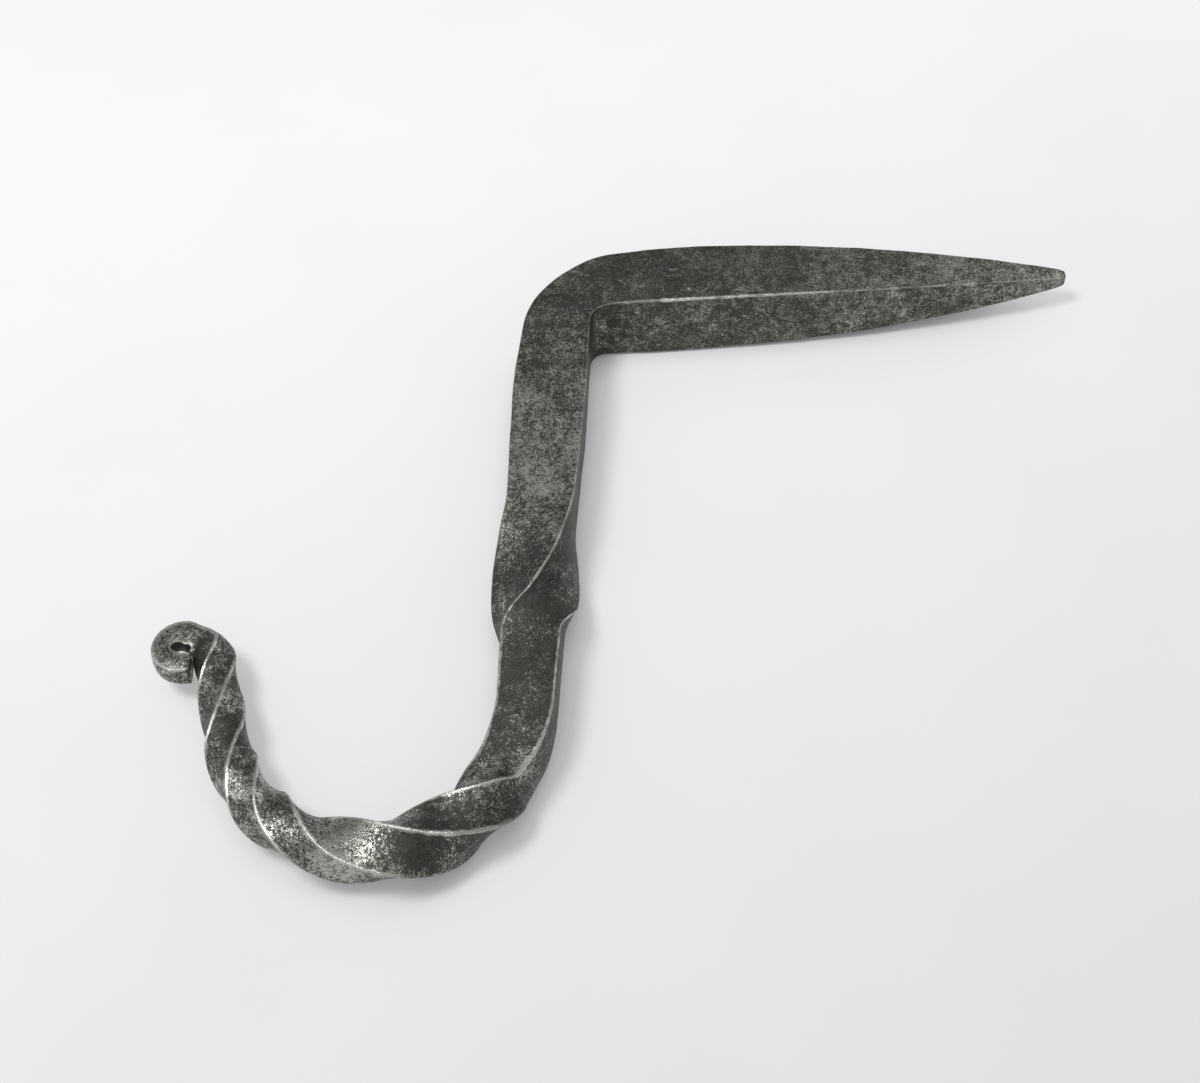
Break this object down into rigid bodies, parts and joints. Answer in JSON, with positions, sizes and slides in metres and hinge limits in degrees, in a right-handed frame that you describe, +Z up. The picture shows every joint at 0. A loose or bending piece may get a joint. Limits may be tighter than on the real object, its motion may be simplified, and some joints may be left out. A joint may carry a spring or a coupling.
{
  "type": "spike hook",
  "caption": "Forged hook: square bar with a tapered driving spike, a corner, and a long leg twisted and bent into an open hook that ends in a small rolled scroll.",
  "frame": {"origin": "centre of the bounding box in X and Y, at the plane the hook lies on", "axes": "the hook lies on its side; +X the way the spike points (the spike itself leans 7 degrees from +X towards +Y), -Y down the long leg to the hook, +Z up through the thickness of the bar"},
  "size_m": [0.1304, 0.1108, 0.012],
  "materials": {
    "forged_steel": "dark forge scale, wire-brushed, with the edges rubbed bright"
  },
  "bodies": {
    "root": {"spike_hook": "forged_steel"}
  },
  "joints": []
}
